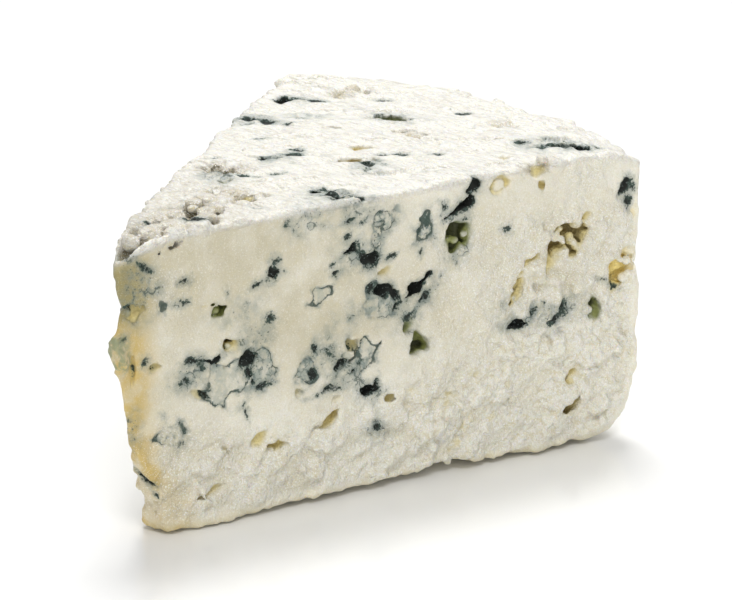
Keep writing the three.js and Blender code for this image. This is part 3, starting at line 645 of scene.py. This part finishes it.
# Keeps the largest connected shell: a cut-off crumb or a sealed bubble isn't part of the wedge.
def keepLargestShell(mesh):
    count = len(mesh.vertices)
    edges = np.zeros(len(mesh.edges) * 2, np.int32)
    mesh.edges.foreach_get("vertices", edges)
    edges = edges.reshape(-1, 2)
    label = np.arange(count)
    while True:
        lowest = np.minimum(label[edges[:, 0]], label[edges[:, 1]])
        before = label.copy()
        np.minimum.at(label, edges[:, 0], lowest)
        np.minimum.at(label, edges[:, 1], lowest)
        label = label[label]
        if (label == before).all():
            break
    names, sizes = np.unique(label, return_counts=True)
    drop = label != names[sizes.argmax()]
    if drop.any():
        work = bmesh.new()
        work.from_mesh(mesh)
        work.verts.ensure_lookup_table()
        bmesh.ops.delete(work, geom=[work.verts[i] for i in np.flatnonzero(drop)], context="VERTS")
        work.to_mesh(mesh)
        work.free()
    return int(drop.sum())


# A new object in the scene.
def placed(name, data):
    holder = bpy.data.objects.new(name, data)
    bpy.context.scene.collection.objects.link(holder)
    return holder


def thinnedCopy(mesh, name, most):
    triangles = sum(len(p.vertices) - 2 for p in mesh.polygons)
    if triangles <= most:
        return mesh
    holder = placed(name + "Full", mesh)
    modifier = holder.modifiers.new("thin", "DECIMATE")
    modifier.ratio = most / triangles
    evaluated = holder.evaluated_get(bpy.context.evaluated_depsgraph_get())
    result = bpy.data.meshes.new_from_object(evaluated)
    bpy.data.objects.remove(holder)
    return result


rawMesh = meshFromGrid("cheeseFull", solid)
dropped = keepLargestShell(rawMesh)
cheeseMesh = thinnedCopy(rawMesh, "cheese", wedge["mostTriangles"])
cheeseMesh.name = "blueCheese"
print("mesh", len(cheeseMesh.vertices), "points,", dropped, "loose points dropped")

vertexCount = len(cheeseMesh.vertices)
places = np.zeros(vertexCount * 3, np.float32)
cheeseMesh.vertices.foreach_get("co", places)
places = places.reshape(-1, 3) * mmPerMetre
vx, vy, vz = places[:, 0], places[:, 1], places[:, 2]
vertexFaces = faceDistances(vx, vy, vz)
tatterHere = sampled(tatter, places)

# How far each point is from the mould, the blocks and the bare hollows, and how hazed it is.
mouldGap, blockGap, bareGap = (np.full(vertexCount, wedge["nothingNear"], np.float32) for i in range(3))
gapOf = {"slot": mouldGap, "spot": mouldGap, "block": blockGap, "bare": bareGap}
gapOf["olive"] = gapOf["amber"] = bareGap
haze, olive, amber = (np.zeros(vertexCount, np.float32) for i in range(3))
for mark in marks:
    name, middle, axes, halves = mark
    kind = markKinds[name]
    reach = float(halves.max()) + kind["soft"] + 2.4
    near = np.flatnonzero((np.abs(places - middle) < reach).all(1))
    gap = markDistance(mark, vx[near], vy[near], vz[near], tatterHere[near])
    if name in gapOf:
        gapOf[name][near] = np.minimum(gapOf[name][near], gap)
    if name in ("olive", "amber"):
        tint = olive if name == "olive" else amber
        tint[near] = np.maximum(tint[near], smoothStep(gap, 0.8, 0.1))
    strength = kind["haze"] * smoothStep(gap, kind["soft"], -0.6 * kind["soft"])
    haze[near] = 1 - (1 - haze[near]) * (1 - 0.85 * strength)

depthIn = -np.maximum(wallsAndTop(vertexFaces), vertexFaces["base"])
reliefHere = sampled(curdRelief, places) + crumbSink * sampled(pits, places)
alongHere = alongFace(vx, vy)
topHere = smoothStep(vertexFaces["top"], -1.8, -0.7)
sunk = np.clip(depthIn + np.minimum(reliefHere, 0.2) - 0.5, 0, 8)
for gap in (mouldGap, bareGap):  # the walls of a hollow belong to it
    gap -= 0.7 * smoothStep(sunk, 0.1, 0.6)
crumbHere = smoothStep(sampled(crumbGap, places), 0.3, -0.05)
pittedHere = sampled(pits, places) * smoothStep(vertexFaces["top"], -5.0, -3.0)
bareGap += 1.1 * crumbHere * smoothStep(sunk, 2.6, 1.2)  # and its loose crumbs are pale
# painted shade between the loose crumbs of the torn patches
shadeBetweenCrumbs = pits * smoothStep(crumbGap, 0.05, 0.6).astype(np.float32)
fromTipHere = np.hypot(vx, vy - wheelY + tipLine(vz) - 1) - 5 * smoothStep(vz, 16, 6)
surfaceFields = {
    "mouldGap": mouldGap,
    "blockGap": blockGap,
    "bareGap": bareGap,
    "haze": haze,
    "olive": olive,
    "amber": amber,
    # painted light: paler towards the rind and towards the bottom, standing in for light from the right
    # and from below
    "paintedLightPale": 0.75 * smoothStep(alongHere, 28, 84) + 0.65 * smoothStep(vz, 34, 8),
    "sunk": sunk,
    "crumbly": sampled(crumble, places),
    "pitted": pittedHere * (1 - 0.5 * crumbHere),
    # painted shade between loose crumbs
    "shadeBetweenCrumbs": sampled(shadeBetweenCrumbs, places),
    "powdery": sampled(powder.astype(np.float32), places),
    "raised": np.clip(reliefHere, -2.0, 1.5),
    "onTop": np.maximum(topHere, pittedHere),
    "onRind": smoothStep(vertexFaces["rind"], -2.4, -0.9) * (1 - topHere),
    # warm patches at the tip, and painted shade on its upper part
    "tipTintAndShade": smoothStep(fromTipHere, 9.0, 2.5) * smoothStep(vertexFaces["top"], -1.0, -2.6),
    "tipUpper": smoothStep(vz, 36, 42),
    "lump": smoothStep(lumpDistance(vx, vy, vz, tatterHere), 0.9, -0.1),
    # painted warm shade along the foot, where the base meets the tabletop
    "footShade": smoothStep(vz, 2.4, 0.3),
}
for name, values in surfaceFields.items():
    attribute = cheeseMesh.attributes.new(name, "FLOAT", "POINT")
    attribute.data.foreach_set("value", values.astype(np.float32))
print("surface fields stored")


def linear(hexColour):
    shares = []
    for i in (1, 3, 5):
        value = int(hexColour[i:i + 2], 16) / 255
        shares.append(value / 12.92 if value <= 0.04045 else ((value + 0.055) / 1.055) ** 2.4)
    return (*shares, 1.0)


# Adds a node with its settings, links or values on its inputs, and gives back one output.
def addNode(tree, kind, inputs, output=0, **settings):
    node = tree.nodes.new("ShaderNode" + kind)
    for name, value in settings.items():
        setattr(node, name, value)
    for socket, value in inputs.items():
        if isinstance(value, bpy.types.NodeSocket):
            tree.links.new(value, node.inputs[socket])
        else:
            node.inputs[socket].default_value = value
    return node.outputs[output] if node.outputs else None


# Blue cheese: moist curd pressed by its own weight, white paste that lets light in a
# millimetre or so, with blue-green mould on the walls of its hollows. That gives a soft,
# slightly grey ivory with painted wet glints, near-black ragged lines and blurred blue-grey smears.
cheese = {
    "ivory": "#F3F0E3",
    "khaki": "#CEC7AF",
    "milk": "#F4F2EA",
    "creaseShade": "#D2C493",  # painted warm shade in the cracks between curds, at the foot and in the fine grain
    "gap": "#5E563C",  # painted shade between loose crumbs
    "glintHighlight": "#FFFEFA",  # painted highlights: tiny wet points
    "topWhite": "#E8E7E1",
    "topBeige": "#DFD7C5",
    # painted shade along the wire's wrinkles
    "wireShadeGrey": "#C3BCB2",
    "powder": "#CFCCC2",  # fine loose curd near the tip
    "rindCream": "#F3EEDC",
    # painted shade on the upper tip, which faces away from the light
    "tipKhakiShade": "#A0925A",
    "tipAmber": "#CDAF55",
    "mouldDark": "#0E1511",
    "mouldTeal": "#374A42",
    "mouldBlue": "#7B8984",
    "mouldPale": "#AEB6AB",
    "mouldGreen": "#8C9676",
    "ochre": "#E4D595",
    # painted shade: the brown that bare hollows turn with depth
    "umberShade": "#AE9857",
    "amber": "#FBE283",  # thin paste with light behind it
    "olive": "#7F8638",
    # painted shade: the dark olive that olive hollows turn with depth
    "oliveShade": "#23280F",
    "roughness": 0.4,
    "subsurface": 0.45,
    "glow": 0.0007,  # how far light wanders inside, in metres
}

# The colours as nodes take them, and the settings that many of the nodes below share.
tone = {name: linear(value) for name, value in cheese.items() if str(value).startswith("#")}
blend = {"output": 2, "data_type": "RGBA"}
multiply, multiplyAdd, larger = ({"operation": name} for name in ("MULTIPLY", "MULTIPLY_ADD", "MAXIMUM"))
even, smooth = ({"interpolation_type": curve} for curve in ("LINEAR", "SMOOTHSTEP"))

# Noise by its grain in mm, detail and roughness, from 20 mm drifts to sparkle that places painted
# highlights on single wet points and specks of painted shade in the grain, drawn coarse enough to show.
curdNoise = {
    "wide": (20, 2, 0.5),
    "blotch": (5, 3, 0.5),
    "middling": (1.5, 2, 0.6),
    "fuzz": (0.45, 2, 0.6),
    "sparkle": (0.24, 0, 0.5),
}

# Colours over the plain paste, from the bottom up: the pattern that each follows, the pattern's
# values where it starts and is full, its strength at each, the pattern it is kept to, its curve.
curdColours = [
    ("milk", "blotch", 0.45, 0.7, 0, 0.3, None, even),
    ("rindCream", "onRind", 0, 1, 0, 0.75, None, even),
    ("topWhite", "onTop", 0, 1, 0, 0.9, None, even),
    ("powder", "curds", 0.25, 0.7, 0.2, 0.95, "powdery", even),
    ("topBeige", "pitted", 0.1, 0.9, 0, 0.65, None, even),
    ("tipAmber", "blotch", 0.42, 0.58, 0.35, 0.85, "tipTintAndShade", even),
    # painted shade on the upper tip, which faces away from the light
    ("tipKhakiShade", "tipUpper", 0, 1, 0, 1, "tipTintAndShade", even),
    # painted warm shade in sunk relief and between the curds
    ("creaseShade", "creaseShadeShare", 0, 1, 0, 1, None, even),
    # painted shade between the loose crumbs on the top
    ("gap", "shadeBetweenCrumbs", 0.1, 0.7, 0, 0.85, None, smooth),
    # painted shade where the base meets the tabletop
    ("creaseShade", "footShade", 0, 1, 0, 0.45, None, even),
    # painted highlights: tiny wet glints, most where the curd is crumbly
    ("glintHighlight", "sparkle", 0.62, 0.74, 0, 1, "glintShare", smooth),
    # painted shade: darker specks for the small gaps in the fine grain
    ("creaseShade", "sparkle", 0.46, 0.26, 0, 0.2, None, even),
    # painted shade along the wire's wrinkles on the top
    ("wireShadeGrey", "wireShadeLine", 0, 1, 0, 0.5, "onTop", even),
    ("mouldBlue", "smeared", 0, 1, 0, 0.8, None, even),
    ("mouldTeal", "specks", 0, 1, 0, 1, None, even),
    ("hollow", "sunk", 0.1, 0.9, 0.1, 0.9, "bareIn", even),
    ("mouldPale", "blockEdge", 0, -0.5, 0, 0.34, "mottle", smooth),
    ("mouldBlue", "blockLine", 1.1, 0.1, 0, 0.6, "mottle", smooth),
    ("mouldBlue", "mouldEdge", 1, 0, 0, 0.4, None, smooth),
    ("mould", "mouldIn", 0, 1, 0, 0.96, None, even),
    ("mouldGreen", "middling", 0.42, 0.6, 0.1, 0.8, "lump", smooth),
]


# Gives the fields stored on the mesh, the noises, the curds and the lines of painted shade along the
# wire's wrinkles, by name.
def curdPatterns(tree):
    p = {}
    for name in surfaceFields:
        p[name] = addNode(tree, "Attribute", {}, output="Fac", attribute_name=name)
    place = addNode(tree, "TexCoord", {}, output="Object")
    inMm = addNode(tree, "VectorMath", {0: place, "Scale": mmPerMetre}, operation="SCALE")
    for name, (grain, detail, roughness) in curdNoise.items():
        inputs = {"Vector": inMm, "Scale": 1 / grain, "Detail": detail, "Roughness": roughness}
        p[name] = addNode(tree, "TexNoise", inputs)
    bend = p["middling"].node.outputs["Color"]
    bent = addNode(tree, "VectorMath", {0: bend, 1: (1.6, 1.6, 1.6), 2: inMm}, **multiplyAdd)
    p["curds"] = addNode(tree, "TexVoronoi", {"Vector": bent, "Scale": 1 / 1.05}, "Distance")
    cells = {"Vector": bent, "Scale": 1 / 2.3}
    p["seams"] = addNode(tree, "TexVoronoi", cells, "Distance", feature="DISTANCE_TO_EDGE")
    drag = {"Vector": inMm, "Rotation": (0, 0, -wire), "Scale": (0.09, 1, 1)}
    dragged = {"Vector": addNode(tree, "Mapping", drag), "Scale": 1 / 1.3, "Detail": 3, "Roughness": 0.6}
    p["drawn"] = addNode(tree, "TexNoise", dragged)
    # thin lines of painted shade along the wire's wrinkles
    p["wireShadeLine"] = addNode(tree, "Math", {0: p["drawn"], 1: 0.5, 2: 0.018}, operation="COMPARE")

    # how far a torn outline wanders, in mm
    torn = addNode(tree, "Math", {0: p["middling"], 1: p["fuzz"]}, operation="ADD")
    torn = addNode(tree, "Math", {0: torn, 1: 2.2, 2: -1.88}, **multiplyAdd)
    p["torn"] = addNode(tree, "Math", {0: p["curds"], 1: -0.7, 2: torn}, **multiplyAdd)
    return p


# Where the paste is ivory rather than khaki, at random and as painted light paler towards the rind and
# the bottom; where painted warm shade lies in its cracks; and where painted wet glints go.
def addPaste(tree, p):
    ivory = addNode(tree, "Math", {0: p["wide"], 1: 1.2, 2: p["paintedLightPale"]}, **multiplyAdd)
    p["ivory"] = addNode(tree, "MapRange", {0: ivory, 1: 0.5, 2: 1.5})
    sunkCurd = addNode(tree, "MapRange", {0: p["raised"], 1: -0.3, 2: -1.3, 4: 0.6}, **smooth)
    between = addNode(tree, "MapRange", {0: p["curds"], 1: 0.5, 2: 0.85, 4: 0.3}, **smooth)
    between = addNode(tree, "Math", {0: between, 1: p["crumbly"]}, **multiply)
    # painted warm shade in sunk relief and between the curds
    p["creaseShadeShare"] = addNode(tree, "Math", {0: sunkCurd, 1: between}, **larger)
    # where the painted glints go
    p["glintShare"] = addNode(tree, "MapRange", {0: p["crumbly"], 1: 0.1, 2: 0.9, 3: 0.15, 4: 0.85})


# Smears of mould under the surface, with finer specks and seams of it where they are strong.
def addSmears(tree, p):
    uneven = addNode(tree, "MapRange", {0: p["middling"], 1: 0.36, 2: 0.62, 3: 0.35}, **smooth)
    smeared = p["smeared"] = addNode(tree, "Math", {0: uneven, 1: p["haze"]}, **multiply)
    seam = addNode(tree, "MapRange", {0: p["seams"], 1: 0.07, 2: 0.02}, **smooth)
    seamIn = addNode(tree, "Math", {0: p["blotch"], 1: 1.3, 2: smeared}, **multiplyAdd)
    seamIn = addNode(tree, "MapRange", {0: seamIn, 1: 1.16, 2: 1.4, 4: 0.7}, **smooth)
    seam = addNode(tree, "Math", {0: seam, 1: seamIn}, **multiply)
    speck = addNode(tree, "Math", {0: smeared, 1: 0.16, 2: p["fuzz"]}, **multiplyAdd)
    speck = addNode(tree, "MapRange", {0: speck, 1: 0.7, 2: 0.78, 4: 0.7}, **smooth)
    speckIn = addNode(tree, "MapRange", {0: p["haze"], 1: 0.2, 2: 0.5})
    speck = addNode(tree, "Math", {0: speck, 1: speckIn}, **multiply)
    p["specks"] = addNode(tree, "Math", {0: speck, 1: seam}, **larger)


# Bare hollows: thick, wet paste that glows ochre, painted browner with depth as painted shade. Gives
# their colour.
def addHollows(tree, p):
    edge = addNode(tree, "Math", {0: p["torn"], 1: 0.6, 2: p["bareGap"]}, **multiplyAdd)
    p["bareIn"] = addNode(tree, "MapRange", {0: edge, 1: 0.45, 2: -0.35}, **smooth)
    # painted shade: browner and darker with depth, broken by noise
    depthShade = addNode(tree, "Math", {0: p["middling"], 1: 6, 2: p["sunk"]}, **multiplyAdd)
    depthShade = addNode(tree, "MapRange", {0: depthShade, 1: 3.8, 2: 5.8, 4: 0.65}, **smooth)
    brown = addNode(tree, "Mix", {0: depthShade, 6: tone["ochre"], 7: tone["umberShade"]}, **blend)
    green = addNode(tree, "Mix", {0: depthShade, 6: tone["olive"], 7: tone["oliveShade"]}, **blend)
    colour = addNode(tree, "Mix", {0: p["olive"], 6: brown, 7: green}, **blend)
    amber = addNode(tree, "MapRange", {0: p["amber"], 4: 0.9})
    return addNode(tree, "Mix", {0: amber, 6: colour, 7: tone["amber"]}, **blend)


# Mould: a broken outline and a mottled middle on blocks of curd, and growth on open walls that is
# black-green in its cores and painted darker with depth as painted shade, teal with pale crumbs that
# thin out with depth. Gives its colour.
def addMould(tree, p):
    edge = addNode(tree, "Math", {0: p["torn"], 1: 0.3, 2: p["blockGap"]}, **multiplyAdd)
    p["blockEdge"] = edge
    p["mottle"] = addNode(tree, "MapRange", {0: p["middling"], 1: 0.44, 2: 0.6, 3: 0.15}, **smooth)
    line = p["blockLine"] = addNode(tree, "Math", {0: edge}, operation="ABSOLUTE")
    line = addNode(tree, "Math", {0: p["blotch"], 1: -2.4, 2: line}, **multiplyAdd)
    line = addNode(tree, "Math", {0: p["fuzz"], 1: -0.6, 2: line}, **multiplyAdd)
    line = addNode(tree, "MapRange", {0: line, 1: -1.25, 2: -1.53, 4: 0.9}, **smooth)
    edge = addNode(tree, "Math", {0: p["torn"], 1: 0.6, 2: p["mouldGap"]}, **multiplyAdd)
    p["mouldEdge"] = edge
    grown = addNode(tree, "MapRange", {0: edge, 1: 0.22, 2: -0.16}, **smooth)
    p["mouldIn"] = addNode(tree, "Math", {0: grown, 1: line}, **larger)
    # painted shade: the mould darker and less frosted with depth
    depthShade = addNode(tree, "MapRange", {0: p["sunk"], 1: 0.5, 2: 1.9}, **smooth)
    dark = addNode(tree, "Math", {0: p["middling"], 1: -2, 2: edge}, **multiplyAdd)
    dark = addNode(tree, "MapRange", {0: dark, 1: -0.9, 2: -1.5}, **smooth)
    dark = addNode(tree, "Math", {0: dark, 1: depthShade}, **larger)
    colour = addNode(tree, "Mix", {0: dark, 6: tone["mouldTeal"], 7: tone["mouldDark"]}, **blend)
    frost = addNode(tree, "MapRange", {0: p["fuzz"], 1: 0.58, 2: 0.68, 4: 0.7}, **smooth)
    shallow = addNode(tree, "MapRange", {0: depthShade, 3: 1, 4: 0.45})
    frost = addNode(tree, "Math", {0: frost, 1: shallow}, **multiply)
    return addNode(tree, "Mix", {0: frost, 6: colour, 7: tone["mouldBlue"]}, **blend)


# Relief too fine for the mesh, in mm: curds, their wet skin and the wire's lines.
def fineRelief(tree, p):
    height = addNode(tree, "Math", {0: p["curds"], 1: -0.24, 2: 0.13}, **multiplyAdd)
    height = addNode(tree, "Math", {0: height, 1: p["crumbly"]}, **multiply)
    skin = addNode(tree, "MapRange", {0: p["crumbly"], 1: 0.1, 2: 1, 3: 0.12, 4: 0.5})
    lines = addNode(tree, "MapRange", {0: p["onTop"], 4: 0.8})
    for name, strength in (("fuzz", skin), ("middling", 0.25), ("drawn", lines)):
        height = addNode(tree, "Math", {0: p[name], 1: strength, 2: height}, **multiplyAdd)
    return addNode(tree, "Bump", {"Height": height, "Strength": 1, "Distance": 1 / mmPerMetre})


def curdMaterial():
    material = bpy.data.materials.new("pressedBlueCheeseCurd")
    material.use_nodes = True
    tree = material.node_tree
    tree.nodes.clear()
    p = curdPatterns(tree)
    addPaste(tree, p)
    addSmears(tree, p)
    shades = dict(tone, hollow=addHollows(tree, p), mould=addMould(tree, p))
    # the paste from khaki to ivory: partly at random, partly painted light paler towards the rind and
    # the bottom
    colour = addNode(tree, "Mix", {0: p["ivory"], 6: tone["khaki"], 7: tone["ivory"]}, **blend)
    for shade, name, start, full, least, most, keptTo, curve in curdColours:
        share = addNode(tree, "MapRange", {0: p[name], 1: start, 2: full, 3: least, 4: most}, **curve)
        if keptTo:
            share = addNode(tree, "Math", {0: share, 1: p[keptTo]}, **multiply)
        colour = addNode(tree, "Mix", {0: share, 6: colour, 7: shades[shade]}, **blend)

    # the curd is wet in patches, mould is dry and velvety and lets no light in
    smoothest, roughest = cheese["roughness"] - 0.1, cheese["roughness"] + 0.1
    wet = addNode(tree, "MapRange", {0: p["blotch"], 1: 0.4, 2: 0.6, 3: smoothest, 4: roughest})
    rough = addNode(tree, "Mix", {0: p["mouldIn"], 2: wet, 3: 0.85}, data_type="FLOAT")
    opened = addNode(tree, "Math", {0: p["mouldIn"], 1: p["bareIn"]}, **larger)
    inside = addNode(tree, "MapRange", {0: opened, 3: cheese["subsurface"], 4: 0})
    shader = addNode(tree, "BsdfPrincipled", {
        "Base Color": colour, "Roughness": rough, "Normal": fineRelief(tree, p), "IOR": 1.42,
        "Subsurface Weight": inside, "Subsurface Radius": (1, 0.85, 0.55),
        "Subsurface Scale": cheese["glow"],
    })
    addNode(tree, "OutputMaterial", {"Surface": shader})
    return material


cheeseObject = placed("blueCheese", cheeseMesh)
cheeseMesh.materials.append(curdMaterial())
cheeseMesh.shade_smooth()
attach(cheeseObject, "root")
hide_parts("cheese_wedge")
print("cheese dressed")

# White glazed tabletop: a clear hard coat over white, which mirrors softly close to the wedge.
tabletop = {"size": 6.0, "drop": 0.0002, "colour": "#FBFBFA", "roughness": 0.14}


def makeFloor():
    half = tabletop["size"] / 2
    mesh = bpy.data.meshes.new("tabletop")
    corners = [(-half, -half, 0), (half, -half, 0), (half, half, 0), (-half, half, 0)]
    mesh.from_pydata(corners, [], [(0, 1, 2, 3)])
    material = bpy.data.materials.new("glazedWhiteTabletop")
    material.use_nodes = True
    shader = material.node_tree.nodes["Principled BSDF"]
    shader.inputs["Base Color"].default_value = linear(tabletop["colour"])
    shader.inputs["Roughness"].default_value = tabletop["roughness"]
    mesh.materials.append(material)
    floor = placed("tabletop", mesh)
    floor.location.z = -tabletop["drop"]


# One broad light high behind the wedge, one over its cut face that picks out the crumbs,
# a weak one low in front, and an even white room.
studio = {
    "key": {"size": 0.6, "place": (-0.34, 0.50, 1.37), "power": 15.8},
    "side": {"size": 0.4, "place": (0.61, -0.61, 1.16), "power": 6.2},
    "front": {"size": 0.9, "place": (0.7, -1.0, 0.3), "power": 2.9},
    "room": 0.4,
}


def makeLights():
    for name in ("key", "side", "front"):
        setting = studio[name]
        light = bpy.data.lights.new(name, "AREA")
        light.shape = "SQUARE"
        light.size = setting["size"]
        light.energy = setting["power"]
        lamp = placed(name, light)
        lamp.location = setting["place"]
        lamp.rotation_euler = (-Vector(setting["place"])).to_track_quat("-Z", "Y").to_euler()
    world = bpy.data.worlds.new("whiteRoom")
    bpy.context.scene.world = world
    world.use_nodes = True
    tree = world.node_tree
    tree.nodes.clear()
    seen = addNode(tree, "LightPath", {}, output="Is Camera Ray")
    strength = addNode(tree, "Mix", {0: seen, 2: studio["room"], 3: 1.0}, data_type="FLOAT")
    back = addNode(tree, "Background", {"Color": (1, 1, 1, 1), "Strength": strength})
    addNode(tree, "OutputWorld", {"Surface": back})


# A long lens from the near side of the tip. aim is measured from the middle of the frame's box.
camera = {
    "azimuth": 36.7,
    "elevation": 18.6,
    "distance": 0.935,
    "lens": 267.8,
    "aim": (0.0058, 0.0084, 0.0013),
}


def makeCamera():
    turn, tilt = math.radians(camera["azimuth"]), math.radians(camera["elevation"])
    back = Vector((math.sin(turn) * math.cos(tilt), -math.cos(turn) * math.cos(tilt), math.sin(tilt)))
    aim = (cadLow + cadHigh) / 2 + Vector(camera["aim"])
    data = bpy.data.cameras.new("camera")
    data.sensor_width = 36
    data.lens = camera["lens"]
    data.clip_start, data.clip_end = 0.01, 20
    holder = placed("camera", data)
    holder.location = aim + back * camera["distance"]
    holder.rotation_euler = (-back).to_track_quat("-Z", "Y").to_euler()
    bpy.context.scene.camera = holder


makeFloor()
makeLights()
makeCamera()
bpy.context.scene.view_settings.view_transform = "Standard"
print("studio set")
